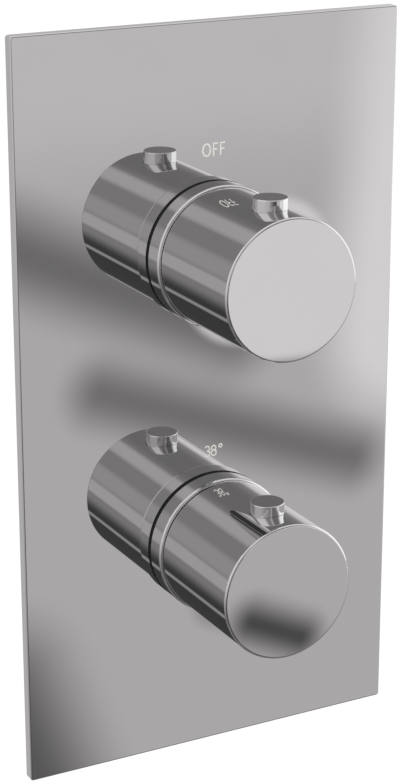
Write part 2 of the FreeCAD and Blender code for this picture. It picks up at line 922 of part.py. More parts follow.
def barrel():
    """Housing of one cartridge: the threaded neck in front and the closed barrel behind."""
    neck = turned([(0, body_front), (neck_outer, body_front, small_chamfer), (neck_outer, neck_back),
                   (0, neck_back)])
    housing = softened([(0, neck_back), (barrel_radius, neck_back, barrel_edge),
                        (barrel_radius, body_depth, barrel_edge), (0, body_depth)])
    return neck.fuse(housing).removeSplitter()


def port_boss(reach):
    """Boss for a pipe thread, made about Y: a rounded root in the barrel and a hexagon at its mouth."""
    shoulder = reach - boss_hex_length
    root = softened([(0, -boss_radius), (boss_radius, -boss_radius, boss_radius - boss_crown),
                     (boss_radius, shoulder), (0, shoulder)])
    corner = boss_hex / math.sqrt(3)
    spanner = hexagon(boss_hex, shoulder, reach, math.pi / 6)
    bevelled = turned([(0, shoulder), (corner, shoulder, boss_bevel),
                       (corner, reach, boss_bevel), (0, reach)])
    return root.fuse(spanner.common(bevelled)).removeSplitter()


def valve_body():
    """Brass casting with its chambers, inlets, outlet and the passage between the chambers."""
    upper = axis_heights["flow"]
    lower = axis_heights["temp"]
    pieces = []
    for height in (upper, lower):
        housing = barrel()
        housing.translate(V(0, 0, height))
        pieces.append(housing)
    for side in (-1, 1):
        boss = upright(port_boss(inlet_reach), True)
        boss.translate(V(side * inlet_offset, port_depth, lower))
        pieces.append(boss)
    boss = upright(port_boss(outlet_reach), False)
    boss.translate(V(0, port_depth, upper))
    pieces.append(boss)
    pieces.append(rod_z(column_radius, lower, upper, 0, column_depth))
    pieces.append(block(-rib_thick / 2, rib_thick / 2, rib_front, column_depth, lower, upper))
    pieces.append(lug_bar())
    body = pieces[0].fuse(pieces[1:]).removeSplitter()
    return body.cut(body_cuts(upper, lower))


def lug_bar():
    """Flat bar across the back with the two fixing holes."""
    half = lug_spacing / 2
    back = body_depth
    front = back - lug_thick
    bar = block(-half, half, front, back, -lug_radius, lug_radius)
    ends = [rod(lug_radius, front, back, side * half) for side in (-1, 1)]
    holes = [rod(lug_hole, front, back, side * half) for side in (-1, 1)]
    return bar.fuse(ends).removeSplitter().cut(holes)


def body_cuts(upper, lower):
    """Everything that is bored out of the casting."""
    mouth = inlet_reach - port_thread
    seat_back = seat_depth + seat_thick
    cuts = [
        rod(chamber_radius, body_front, chamber_back, z=lower),
        rod(chamber_radius, body_front, seat_depth, z=upper),
        rod(seat_radius, seat_depth, seat_back, z=upper),
        rod(rear_pocket_radius, seat_back, chamber_back, z=upper),
        rod_z(transfer_radius, lower, upper, 0, column_depth),
        rod_z(outlet_passage, upper, upper + outlet_reach, 0, port_depth),
        rod_z(thread_bore, upper + outlet_reach - port_thread, upper + outlet_reach, 0, port_depth),
    ]
    for side, place in ((1, port_depth - gallery_offset), (-1, port_depth + gallery_offset)):
        inlet = side * inlet_offset
        gallery = side * (inlet_offset - gallery_inset)
        cuts.append(rod_z(thread_bore, lower - inlet_reach, lower - mouth, inlet, port_depth))
        cuts.append(rod_z(pocket_radius, lower - mouth, lower - pocket_end, inlet, port_depth))
        cuts.append(rod_z(gallery_radius, lower - pocket_end, lower, gallery, place))
    return cuts


# ---------------------------------------------------------------- the whole valve

def knob_set(name):
    """Everything on one knob's axis that the two knobs share."""
    return {
        name + "_sleeve": collar_sleeve(),
        name + "_sleeve_seal": collar_seal(),
        name + "_knob": knob_shell(),
        name + "_button": push_button(),
        name + "_stop_slide": stop_slide(),
        name + "_button_spring": button_spring(),
        name + "_carrier": carrier(),
        name + "_carrier_screw": carrier_screw(),
        name + "_grub_screw": grub_screw(),
        name + "_spindle_clip": spindle_clip(),
        name + "_spindle_oring": spindle_oring(),
        name + "_bonnet_oring": bonnet_oring(),
        name + "_stop_ring": stop_ring(windows[name]),
    }


def cartridges():
    """The pieces that only one of the two cartridges has."""
    flow = {
        "flow_bonnet": flow_bonnet(),
        "flow_spindle": flow_spindle(),
        "flow_moving_disc": moving_disc(),
        "flow_fixed_disc": fixed_disc(),
        "flow_base_seal": base_seal(),
    }
    temp = {
        "temp_bonnet": thermo_bonnet(),
        "temp_spindle": temperature_spindle(),
        "thermo_drive_nut": drive_nut(),
        "thermo_overload_spring": overload_spring(),
        "thermo_wax_piston": wax_piston(),
        "thermo_wax_element": wax_element(),
        "thermo_shuttle": shuttle(),
        "thermo_return_spring": return_spring(),
        "thermo_sleeve": cartridge_sleeve(),
        "thermo_sleeve_rings": cartridge_rings(),
        "thermo_end_cap": end_cap(),
    }
    return flow, temp


def inlet_pieces():
    """Non-return valve and strainer of each inlet: cold on the right, hot mirrored on the left."""
    made = {"check_cage": check_cage(), "check_poppet": poppet(), "check_spring": check_spring(),
            "strainer": strainer()}
    pieces = {}
    for name, shape in made.items():
        shape = upright(shape, True)
        shape.translate(V(inlet_offset, port_depth, axis_heights["temp"]))
        pieces["cold_" + name] = shape
        pieces["hot_" + name] = shape.mirror(V(0, 0, 0), V(1, 0, 0))
    return pieces


def all_pieces():
    pieces = {"trim_plate": plate(), "plate_gasket": gasket(), "valve_body": valve_body()}
    for name, height in axis_heights.items():
        for node, shape in knob_set(name).items():
            shape.translate(V(0, 0, height))
            pieces[node] = shape
    for group, height in zip(cartridges(), axis_heights.values()):
        for node, shape in group.items():
            shape.translate(V(0, 0, height))
            pieces[node] = shape
    pieces.update(inlet_pieces())
    return pieces


os.makedirs("parts", exist_ok=True)
for node, shape in all_pieces().items():
    shape.translate(V(0, -body_depth, 0))
    shape.exportStep("parts/" + node + ".step")
    print(node, "solids", len(shape.Solids), "valid", shape.isValid(), "volume", round(shape.Volume, 1))
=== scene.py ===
import math

import bmesh
import bpy
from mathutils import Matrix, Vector


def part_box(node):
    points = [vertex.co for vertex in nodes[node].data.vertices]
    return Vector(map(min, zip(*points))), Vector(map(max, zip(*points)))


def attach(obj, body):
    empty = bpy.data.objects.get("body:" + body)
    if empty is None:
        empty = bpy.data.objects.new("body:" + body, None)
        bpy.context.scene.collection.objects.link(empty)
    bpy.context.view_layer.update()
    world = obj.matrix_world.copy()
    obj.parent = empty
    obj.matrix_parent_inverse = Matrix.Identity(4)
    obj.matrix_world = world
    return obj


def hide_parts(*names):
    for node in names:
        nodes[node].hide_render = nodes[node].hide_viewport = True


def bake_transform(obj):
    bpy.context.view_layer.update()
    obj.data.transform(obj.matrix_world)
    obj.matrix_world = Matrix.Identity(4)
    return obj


# Concealed thermostatic shower valve: one mirror-polished plate with two knobs, and the brass
# valve body behind it. Everything is in metres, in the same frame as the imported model.

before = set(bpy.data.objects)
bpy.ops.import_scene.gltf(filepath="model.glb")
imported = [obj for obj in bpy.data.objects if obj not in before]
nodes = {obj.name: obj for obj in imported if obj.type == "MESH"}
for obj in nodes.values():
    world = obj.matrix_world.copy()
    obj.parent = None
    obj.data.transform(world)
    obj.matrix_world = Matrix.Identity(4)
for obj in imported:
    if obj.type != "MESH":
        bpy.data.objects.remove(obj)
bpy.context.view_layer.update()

scene = bpy.context.scene
scene.view_settings.view_transform = "Standard"

# The plate's faces along Y, and the knobs' axes above and below the middle
PLATE_FRONT = -0.067
PLATE_BACK = -0.064
AXIS_HEIGHT = 0.040

# The pipe threads: two inlets below, one outlet on top
PORT_DEPTH = -0.026
PORT_REACH = 0.088
INLET_OFFSET = 0.016
THREAD_BORE = 0.0093
THREAD_LENGTH = 0.0142
THREAD_PITCH = 0.001814
THREAD_HEIGHT = 0.00055
THREAD_HALF_FOOT = 0.00078
THREAD_HALF_CREST = 0.00012
THREAD_ROOT = 0.00006        # how far the ridge's foot lies in the wall
THREAD_LEAD_IN = 0.6         # in pitches, from the mouth to the thread's start
THREAD_RUN_OUT = 0.4         # in turns, over which the ridge rises and falls

# The foam strip behind the plate, measured to the middle of its band
STRIP_X = 0.0495
STRIP_Z = 0.0945
STRIP_BAND = 0.005
STRIP_THICK = 0.0015

# The black ring between each collar and the plate
SEAL_INNER = 0.0176

# The inlets' strainers
GAUZE_RIM = 0.0010
GAUZE_SPACING = 0.00072
GAUZE_WIRE = 0.00011         # radius
GAUZE_BELOW_RIM = 0.00027

# The springs' ends: closed turns at each end, and their rise for a turn in wire radii
CLOSED_TURNS = 0.8
CLOSED_RISE = 2.1

# The words on the plate, in millimetres: foot, head and width of the strokes
OFF_FOOT, OFF_HEAD, OFF_STROKE = 65.45, 68.6, 0.50
NUMBER_FOOT, NUMBER_HEAD, NUMBER_STROKE = -16.25, -13.3, 0.42
WORD_FLATNESS = 0.12         # the strokes' height from the plate, as a share of their width
MILLIMETRE = 0.001

# The studio: a tent round the plate's middle that only mirrors see, and a floor below it
TENT_RADIUS = 2.2
FLOOR_LEVEL = -2.4


# ---------------------------------------------------------------- shader helpers

class Field:
    """A socket whose arithmetic adds Math nodes to its tree."""

    def __init__(self, tree, socket):
        self.tree = tree
        self.socket = socket

    def __add__(self, other):
        return self.tree.maths("ADD", self, other)

    def __radd__(self, other):
        return self.tree.maths("ADD", other, self)

    def __sub__(self, other):
        return self.tree.maths("SUBTRACT", self, other)

    def __rsub__(self, other):
        return self.tree.maths("SUBTRACT", other, self)

    def __mul__(self, other):
        return self.tree.maths("MULTIPLY", self, other)

    def __rmul__(self, other):
        return self.tree.maths("MULTIPLY", other, self)

    def __truediv__(self, other):
        return self.tree.maths("DIVIDE", self, other)

    def __rtruediv__(self, other):
        return self.tree.maths("DIVIDE", other, self)

    def __neg__(self):
        return self.tree.maths("MULTIPLY", self, -1.0)

    def __abs__(self):
        return self.tree.maths("ABSOLUTE", self)


class Tree:
    """Node tree of a material or of the world."""

    def __init__(self, owner):
        owner.use_nodes = True
        self.nodes = owner.node_tree.nodes
        self.links = owner.node_tree.links
        self.nodes.clear()

    def add(self, kind, settings, values, out=0):
        """Adds a node, makes its settings, then gives its inputs values or links."""
        node = self.nodes.new(kind)
        for name, setting in settings.items():
            setattr(node, name, setting)
        for name, value in values.items():
            if isinstance(value, Field):
                self.links.new(value.socket, node.inputs[name])
            else:
                node.inputs[name].default_value = value
        return Field(self, node.outputs[out]) if node.outputs else node

    def maths(self, operation, *operands):
        """Math node on sockets or numbers."""
        return self.add("ShaderNodeMath", {"operation": operation}, dict(enumerate(operands)))

    def place(self):
        """The point's place on its piece, which turns with the piece, in metres."""
        return self.add("ShaderNodeTexCoord", {}, {}, "Object")

    def split(self, vector):
        """The three parts of a vector."""
        parts = self.nodes.new("ShaderNodeSeparateXYZ")
        self.links.new(vector.socket, parts.inputs[0])
        return [Field(self, socket) for socket in parts.outputs]

    def soft_step(self, value, start, end):
        """Goes smoothly from 0 at start to 1 at end."""
        settings = {"interpolation_type": "SMOOTHSTEP", "clamp": True}
        values = {0: value, 1: start, 2: end, 3: 0.0, 4: 1.0}
        return self.add("ShaderNodeMapRange", settings, values)

    def mix(self, factor, first, second):
        """Mix of two colours."""
        return self.add("ShaderNodeMix", {"data_type": "RGBA"}, {0: factor, 6: first, 7: second}, 2)

    def most(self, first, second):
        """The larger of two values."""
        return self.maths("MAXIMUM", first, second)

    def shown(self):
        """1 for what is seen straight, in a mirror or through glass, and 0 for plain light."""
        seen = [self.add("ShaderNodeLightPath", {}, {}, name)
                for name in ("Is Camera Ray", "Is Glossy Ray", "Is Transmission Ray")]
        return self.most(self.most(seen[0], seen[1]), seen[2])

    def noise(self, place, scale, detail=2.0, roughness=0.5):
        """Noise between 0 and 1, with so many grains to a metre."""
        values = {"Vector": place, "Scale": scale, "Detail": detail, "Roughness": roughness}
        return self.add("ShaderNodeTexNoise", {}, values)

    def stretched(self, place, scale):
        """The place scaled differently along each axis."""
        return self.add("ShaderNodeVectorMath", {"operation": "MULTIPLY"}, {0: place, 1: scale})

    def bump(self, height, depth):
        """Normal of a height between 0 and 1 that stands for a depth in metres."""
        values = {"Strength": 1.0, "Distance": depth, "Height": height}
        return self.add("ShaderNodeBump", {}, values)

    def surface(self, **values):
        """Ends the tree in one Principled surface."""
        named = {name.replace("_", " "): value for name, value in values.items()}
        shader = self.add("ShaderNodeBsdfPrincipled", {}, named)
        self.add("ShaderNodeOutputMaterial", {}, {"Surface": shader})


def colour(red, green, blue):
    """A colour as a socket takes it, with its alpha."""
    return (red, green, blue, 1.0)


# ---------------------------------------------------------------- finishes

finishes = {}


def finish(maker):
    """Makes the material whose tree the maker fills, and keeps it under the maker's name."""
    material = bpy.data.materials.new(maker.__name__)
    maker(Tree(material))
    finishes[maker.__name__] = material
    return maker


@finish
def mirror_chrome(tree):
    """Polished chrome, faintly cloudy from the wheel, and plated as turned behind the plate."""
    place = tree.place()
    clouds = tree.noise(place, 60.0, 3.0)
    wheel = tree.noise(tree.stretched(place, (900.0, 900.0, 60.0)), 1.0, 2.0)
    _, y, _ = tree.split(place)
    unseen = tree.soft_step(y, PLATE_BACK - 0.0003, PLATE_BACK - 0.0001)
    marks = tree.noise(tree.stretched(place, (300.0, 5000.0, 300.0)), 1.0, 3.0)
    polished = tree.mix(clouds, colour(0.765, 0.768, 0.775), colour(0.79, 0.785, 0.785))
    plain = tree.mix(marks, colour(0.60, 0.60, 0.60), colour(0.72, 0.72, 0.725))
    tree.surface(
        Base_Color=tree.mix(unseen, polished, plain),
        Metallic=1.0,
        Roughness=0.006 + 0.014 * clouds + 0.010 * wheel + unseen * (0.34 + 0.14 * marks),
        Normal=tree.bump(marks * unseen, 0.00001),
    )


@finish
def cast_brass(tree):
    """Sand-cast brass with machined mouths, hexagons and neck."""
    place = tree.place()
    _, y, z = tree.split(place)
    grain = tree.noise(place, 1600.0, 4.0, 0.65)
    patches = tree.noise(place, 90.0, 3.0)
    mouths = tree.soft_step(abs(z), 0.0776, 0.0780)
    neck = tree.soft_step(y, -0.0427, -0.0431)
    machined = tree.most(mouths, neck)
    raw = tree.mix(patches, colour(0.58, 0.43, 0.19), colour(0.74, 0.57, 0.28))
    raw = tree.mix(0.35 * grain, raw, colour(0.42, 0.30, 0.13))
    cutter = tree.noise(tree.stretched(place, (150.0, 150.0, 7000.0)), 1.0, 2.0)
    tree.surface(
        Base_Color=tree.mix(machined, raw, colour(0.83, 0.66, 0.36)),
        Metallic=1.0,
        Roughness=0.42 + 0.16 * grain - machined * (0.30 - 0.10 * cutter),
        Normal=tree.bump(grain * (1.0 - machined) + 0.08 * cutter * machined, 0.00022),
    )


@finish
def turned_brass(tree):
    """Brass from the lathe, with fine rings along its axis."""
    place = tree.place()
    rings = tree.noise(tree.stretched(place, (60.0, 9000.0, 60.0)), 1.0, 2.0)
    tone = tree.noise(place, 200.0, 2.0)
    tree.surface(
        Base_Color=tree.mix(tone, colour(0.78, 0.60, 0.30), colour(0.86, 0.69, 0.38)),
        Metallic=1.0,
        Roughness=0.20 + 0.16 * rings,
        Normal=tree.bump(rings, 0.00002),
    )


@finish
def seal_rubber(tree):
    """Matt black rubber with the mould's fine grain."""
    place = tree.place()
    grain = tree.noise(place, 2500.0, 2.0)
    tree.surface(
        Base_Color=tree.mix(grain, colour(0.012, 0.012, 0.013), colour(0.03, 0.03, 0.031)),
        Roughness=0.55 + 0.2 * grain,
        Normal=tree.bump(grain, 0.00002),
    )


@finish
def closed_cell_foam(tree):
    """Pale foam strip with small closed cells, with painted shade in the cells' hollows."""
    place = tree.place()
    cells = tree.add("ShaderNodeTexVoronoi", {"feature": "SMOOTH_F1"},
                     {"Vector": place, "Scale": 1900.0})
    tone = tree.noise(place, 120.0, 3.0)
    body = tree.mix(tone, colour(0.78, 0.78, 0.75), colour(0.88, 0.88, 0.86))
    tree.surface(
        # The cells' hollows are painted darker here: painted shade in the pits, on top of their
        # bump
        Base_Color=tree.mix(tree.soft_step(cells, 0.25, 0.6), colour(0.60, 0.60, 0.57), body),
        Roughness=0.85,
        Normal=tree.bump(cells, 0.00025),
    )


@finish
def spring_wire(tree):
    """Drawn stainless wire, with the streaks of the drawing die."""
    place = tree.place()
    streaks = tree.noise(tree.stretched(place, (9000.0, 9000.0, 500.0)), 1.0, 2.0)
    tree.surface(
        Base_Color=tree.mix(streaks, colour(0.50, 0.50, 0.50), colour(0.66, 0.66, 0.65)),
        Metallic=1.0,
        Roughness=0.24 + 0.16 * streaks,
    )


@finish
def brushed_stainless(tree):
    """Stainless sheet and wire, brushed across X."""
    place = tree.place()
    brushing = tree.noise(tree.stretched(place, (12000.0, 900.0, 900.0)), 1.0, 2.0)
    tree.surface(
        Base_Color=tree.mix(brushing, colour(0.60, 0.60, 0.59), colour(0.74, 0.74, 0.73)),
        Metallic=1.0,
        Roughness=0.22 + 0.18 * brushing,
        Normal=tree.bump(brushing, 0.00001),
    )


@finish
def lapped_ceramic(tree):
    """Fine white ceramic, lapped nearly to a gloss."""
    place = tree.place()
    grain = tree.noise(place, 5000.0, 2.0)
    tree.surface(
        Base_Color=tree.mix(grain, colour(0.90, 0.89, 0.86), colour(0.96, 0.955, 0.94)),
        Roughness=0.16 + 0.08 * grain,
        Coat_Weight=0.3,
    )


@finish
def black_plastic(tree):
    """Black moulded plastic with a fine spark-eroded grain."""
    place = tree.place()
    grain = tree.noise(place, 3500.0, 2.0)
    tree.surface(
        Base_Color=tree.mix(grain, colour(0.03, 0.03, 0.033), colour(0.06, 0.06, 0.064)),
        Roughness=0.34 + 0.16 * grain,
        Normal=tree.bump(grain, 0.00002),
    )


@finish
def white_plastic(tree):
    """White moulded plastic, slightly warm."""
    place = tree.place()
    grain = tree.noise(place, 3500.0, 2.0)
    tone = tree.noise(place, 90.0, 2.0)
    tree.surface(
        Base_Color=tree.mix(tone, colour(0.84, 0.84, 0.81), colour(0.90, 0.90, 0.88)),
        Roughness=0.38 + 0.14 * grain,
        Normal=tree.bump(grain, 0.00002),
    )


@finish
def marking_paint(tree):
    """Cream paint of the words on the plate."""
    grain = tree.noise(tree.place(), 6000.0, 2.0)
    tree.surface(
        Base_Color=tree.mix(grain, colour(0.92, 0.91, 0.84), colour(0.97, 0.965, 0.90)),
        Roughness=0.4,
    )


slot_finishes = {
    "polished_chrome": "mirror_chrome",
    "cast_brass": "cast_brass",
    "turned_brass": "turned_brass",
    "foam": "closed_cell_foam",
    "rubber": "seal_rubber",
    "spring_steel": "spring_wire",
    "stainless": "brushed_stainless",
    "ceramic": "lapped_ceramic",
    "black_plastic": "black_plastic",
    "white_plastic": "white_plastic",
}


def finish_nodes():
    """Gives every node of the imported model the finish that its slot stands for."""
    for node in nodes.values():
        for slot in node.material_slots:
            slot_name = slot.material.name.split(".")[0]
            slot.material = finishes[slot_finishes[slot_name]]


# ---------------------------------------------------------------- pieces

def mesh_piece(name, points, faces, finish_name, body):
    """A smooth mesh in its place, with its finish, on the body that it moves with, if any."""
    mesh = bpy.data.meshes.new(name)
    mesh.from_pydata(points, [], faces)
    solid = bmesh.new()
    solid.from_mesh(mesh)
    bmesh.ops.recalc_face_normals(solid, faces=solid.faces)
    solid.to_mesh(mesh)
    solid.free()
    mesh.shade_smooth()
    mesh.materials.append(finishes[finish_name])
    made = bpy.data.objects.new(name, mesh)
    scene.collection.objects.link(made)
    if body:
        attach(made, body)
    return made


def tube_faces(rows, columns, first=0, closed=False):
    """Faces between rows of points that each go once round a section."""
    faces = []
    for row in range(rows if closed else rows - 1):
        for column in range(columns):
            here, after = first + row * columns, first + (row + 1) % rows * columns
            following = (column + 1) % columns
            faces.append((here + column, here + following, after + following, after + column))
    return faces


def rounded_section(half_width, half_height, count, roundness):
    """Section between a rectangle, for a roundness of 0, and an ellipse, for 1."""
    points = []
    for i in range(count):
        angle = 2 * math.pi * i / count
        across, up = math.cos(angle), math.sin(angle)
        points.append((math.copysign(half_width * abs(across) ** roundness, across),
                       math.copysign(half_height * abs(up) ** roundness, up)))
    return points


def foam_strip():
    """Foam frame behind the plate: pressed flat in front, slightly uneven behind."""
    section = rounded_section(STRIP_BAND / 2, STRIP_THICK / 2, count=20, roundness=0.45)
    steps = 40
    corners = [(-1, -1), (1, -1), (1, 1), (-1, 1)]
    path = []
    for (x, z), (next_x, next_z) in zip(corners, corners[1:] + corners[:1]):
        for i in range(steps):
            outwards = (x * (x == next_x), z * (z == next_z)) if i else (x, z)
            path.append((x * STRIP_X + (next_x - x) * STRIP_X * i / steps,
                         z * STRIP_Z + (next_z - z) * STRIP_Z * i / steps, *outwards))
    points = []
    for i, (x, z, out_x, out_z) in enumerate(path):
        swell = 0.93 + 0.05 * math.sin(0.9 * i) * math.sin(0.37 * i)
        for across, up in section:
            give = swell if up > 0 else 1.0
            points.append((x + across * out_x,
                           PLATE_BACK + STRIP_THICK / 2 + up * give,
                           z + across * out_z))
    strip = mesh_piece("foam_strip", points, tube_faces(len(path), len(section), closed=True),
                       "closed_cell_foam", "housing")
    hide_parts("plate_gasket")


def seal_lip(knob, height):
    """Rubber ring between a collar and the plate, with a rounded lip."""
    low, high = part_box(knob + "_sleeve_seal")
    outer = high[0]
    middle = (low[1] + high[1]) / 2
    section = rounded_section((outer - SEAL_INNER) / 2, (high[1] - low[1]) / 2,
                              count=16, roundness=0.6)
    steps = 128
    points = []
    for i in range(steps):
        angle = 2 * math.pi * i / steps
        for across, depth in section:
            radius = (outer + SEAL_INNER) / 2 + across
            points.append((radius * math.cos(angle),
                           middle + depth,
                           height + radius * math.sin(angle)))
    lip = mesh_piece(knob + "_seal_lip", points, tube_faces(steps, len(section), closed=True),
                     "seal_rubber", "housing")
    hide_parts(knob + "_sleeve_seal")


def pipe_thread(name, x, mouth, inwards):
    """Thread ridge inside a port, from its mouth inwards, which is +1 for up and -1 for down."""
    section = [(THREAD_ROOT, -THREAD_HALF_FOOT), (-THREAD_HEIGHT, -THREAD_HALF_CREST),
               (-THREAD_HEIGHT, THREAD_HALF_CREST), (THREAD_ROOT, THREAD_HALF_FOOT)]
    turn = 64
    steps = int((THREAD_LENGTH - THREAD_PITCH) / THREAD_PITCH * turn)
    run_out = turn * THREAD_RUN_OUT
    points = []
    for i in range(steps + 1):
        angle = inwards * 2 * math.pi * i / turn
        grown = min(1.0, i / run_out, (steps - i) / run_out)
        level = mouth + inwards * (THREAD_PITCH * THREAD_LEAD_IN + THREAD_PITCH * i / turn)
        for depth, rise in section:
            radius = THREAD_BORE + (depth if depth > 0 else depth * grown)
            points.append((x + radius * math.cos(angle),
                           PORT_DEPTH + radius * math.sin(angle),
                           level + rise))
    mesh_piece(name, points, tube_faces(steps + 1, len(section)),
               "turned_brass", "housing")


def gauze_strainer(side, name):
    """Strainer of an inlet: a pressed rim that holds a woven gauze."""
    low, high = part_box(name)
    x = (low[0] + high[0]) / 2
    outer = (high[0] - low[0]) / 2
    section = rounded_section(GAUZE_RIM / 2, (high[2] - low[2]) / 2, count=12, roundness=0.5)
    around = 72
    points = []
    for i in range(around):
        angle = 2 * math.pi * i / around
        for across, up in section:
            radius = outer - GAUZE_RIM / 2 + across
            points.append((x + radius * math.cos(angle),
                           PORT_DEPTH + radius * math.sin(angle),
                           (low[2] + high[2]) / 2 + up))
    faces = tube_faces(around, len(section), closed=True)

    # The wires end inside the rim, and pass over and under each other
    reach = outer - GAUZE_RIM * 0.7
    count = int(reach / GAUZE_SPACING)
    level = high[2] - GAUZE_BELOW_RIM
    sides = 5
    for lengthwise in (True, False):
        for k in range(-count, count + 1):
            half = math.sqrt(reach ** 2 - (k * GAUZE_SPACING) ** 2)
            steps = max(4, int(4 * half / GAUZE_SPACING))
            first = len(points)
            for i in range(steps + 1):
                along = -half + 2 * half * i / steps
                crossing = along / GAUZE_SPACING + k + (0 if lengthwise else 1)
                lift = GAUZE_WIRE * math.cos(math.pi * crossing)
                for j in range(sides):
                    turn = 2 * math.pi * j / sides
                    across = k * GAUZE_SPACING + GAUZE_WIRE * math.cos(turn)
                    u, v = (along, across) if lengthwise else (across, along)
                    points.append((x + u,
                                   PORT_DEPTH + v,
                                   level + lift + GAUZE_WIRE * math.sin(turn)))
            faces += tube_faces(steps + 1, sides, first)
    gauze = mesh_piece(side + "_gauze", points, faces, "brushed_stainless", "housing")
    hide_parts(name)


def coil_spring(node, axis, radius, wire, turns, still, moving=None):
    """Spring of round wire, given by its radius, with closed ends and in the node's place.

    One end may move with another body. The spring then has no body of its own, and its place is
    baked into its mesh."""
    low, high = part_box(node)
    centre = [(start + end) / 2 for start, end in zip(low, high)]
    across = [k for k in range(3) if k != axis]
    total = turns + 2 * CLOSED_TURNS
    reach = high[axis] - low[axis] - 2 * wire
    shut = CLOSED_TURNS * CLOSED_RISE * wire
    sides = 12
    steps = int(total * 36)
    points = []
    for i in range(steps + 1):
        turned = total * i / steps
        angle = 2 * math.pi * turned
        open_share = min(1.0, max(0.0, (turned - CLOSED_TURNS) / turns))
        closed = min(turned, CLOSED_TURNS) + max(0.0, turned - turns - CLOSED_TURNS)
        level = CLOSED_RISE * wire * closed + (reach - 2 * shut) * open_share
        for j in range(sides):
            around = 2 * math.pi * j / sides
            out = radius + wire * math.cos(around)
            point = list(centre)
            point[across[0]] += out * math.cos(angle)
            point[across[1]] += out * math.sin(angle)
            point[axis] = low[axis] + wire + level + wire * math.sin(around)
            points.append(point)
    faces = tube_faces(steps + 1, sides)
    faces += [tuple(range(sides)), tuple(range(steps * sides, (steps + 1) * sides))]
    spring = mesh_piece(node + "_coil", points, faces,
                        "spring_wire", None if moving else still)
    if moving:
        ends = [list(centre), list(centre)]
        ends[0][axis] = low[axis] + 2 * wire
        ends[1][axis] = high[axis] - 2 * wire
        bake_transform(spring)
    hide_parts(node)


def arc(x, z, width, height, start, end, steps=28):
    """Points of an elliptic arc in the plate's plane. Angles in degrees, from +X towards +Z."""
    points = []
    for i in range(steps + 1):
        angle = math.radians(start + (end - start) * i / steps)
        points.append((x + width / 2 * math.cos(angle), z + height / 2 * math.sin(angle)))
    return points


def painted_word(name, strokes, width):
    """Thin flat lettering on the plate, from strokes of (x, z) points in millimetres."""
    curve = bpy.data.curves.new(name, "CURVE")
    curve.dimensions = "3D"
    curve.bevel_depth = width / 2 * MILLIMETRE
    curve.bevel_resolution = 2
    curve.use_fill_caps = True
    for stroke in strokes:
        spline = curve.splines.new("POLY")
        spline.points.add(len(stroke) - 1)
        for point, (x, z) in zip(spline.points, stroke):
            point.co = (x * MILLIMETRE, 0.0, z * MILLIMETRE, 1.0)
    word = bpy.data.objects.new(name, curve)
    word.location = (0.0, PLATE_FRONT, 0.0)
    word.scale = (1.0, WORD_FLATNESS, 1.0)
    scene.collection.objects.link(word)
    curve.materials.append(finishes["marking_paint"])
    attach(word, "housing")


def letter_f(x, low, high, width):
    """Strokes of an F whose upright stands at x."""
    middle = low + (high - low) * 0.52
    return [[(x, low), (x, high), (x + width, high)],
            [(x, middle), (x + width * 0.85, middle)]]


def painted_words():
    """OFF above the upper knob and 38 degrees above the lower one."""
    middle = (OFF_FOOT + OFF_HEAD) / 2
    off = [arc(-1.75, middle, 2.2, OFF_HEAD - OFF_FOOT, 0, 360)]
    off += letter_f(0.25, OFF_FOOT, OFF_HEAD, 1.25)
    off += letter_f(2.32, OFF_FOOT, OFF_HEAD, 1.25)
    painted_word("word_off", off, OFF_STROKE)

    size = NUMBER_HEAD - NUMBER_FOOT
    upper = NUMBER_HEAD - size * 0.27
    lower = NUMBER_FOOT + size * 0.27
    three = [arc(-1.57, upper, 1.4, size * 0.5, 150, -90)
             + arc(-1.57, lower, 1.55, size * 0.54, 90, -150)]
    eight = [arc(0.40, upper, 1.25, size * 0.48, 0, 360),
             arc(0.40, lower, 1.5, size * 0.54, 0, 360)]
    degree = [arc(2.44, NUMBER_HEAD - 0.45, 0.9, 0.9, 0, 360, 18)]
    painted_word("number_38", three + eight + degree, NUMBER_STROKE)


# ---------------------------------------------------------------- studio

# Long cards round the plate's axis, which the knobs' sides mirror, each over the ones before: the
# middle's angle in degrees, with 0 to the right and 90 up, then half width, soft edge and grey
CARDS_ROUND = [
    (-95, 30, 25, 0.06),    # black card below
    (-115, 1, 4, 0.35),     # thin light in it
    (-15, 5, 25, 0.85),     # strip light on the right
    (55, 15, 25, 0.20),     # dark card above on the right
    (105, 5, 12, 0.50),     # light overhead
    (165, 5, 15, 0.40),     # grey card on the left
    (-168, 7, 6, 0.50),     # strip light below it
]

# Soft cards ahead, which the plate's lower part and the knobs' ends mirror, each over the ones
# before: start, end, half width, soft edge and grey. Places are to the right and up, as shares of
# the distance straight ahead of the plate.
CARDS_AHEAD = [
    ((0.54, -0.10), (0.54, -0.70), 0.30, 0.05, 0.50),    # even card behind the others
    ((0.40, -0.13), (0.66, -0.13), 0.04, 0.08, 0.60),    # light card on top
    ((0.72, -0.15), (0.70, -0.35), 0.04, 0.06, 0.80),    # strip light on the right
    ((0.38, -0.26), (0.55, -0.34), 0.00, 0.05, 0.18),    # dark bar behind the upper knob
    ((0.45, -0.37), (0.65, -0.45), 0.00, 0.04, 0.20),    # dark bar between the knobs
    ((0.36, -0.58), (0.40, -0.70), 0.01, 0.08, 0.12),    # dark corner below
    ((0.56, -0.30), (0.58, -0.30), 0.045, 0.010, 0.76),  # lamp that the upper knob's end mirrors
    ((0.54, -0.54), (0.58, -0.56), 0.00, 0.03, 0.08),    # dark bar that the lower one's mirrors
]


def card_grey(grey):
    """A card's grey, faintly warm."""
    return colour(grey * 1.02, grey * 0.985, grey * 0.995)


def round_card(tree, right, up, distance, middle, half_width, softness):
    """1 on a long card round the plate's axis, at the middle's angle."""
    turn = math.radians(middle)
    facing = (right * math.cos(turn) + up * math.sin(turn)) / distance
    edge = math.cos(math.radians(half_width + softness))
    return tree.soft_step(facing, edge, math.cos(math.radians(half_width)))


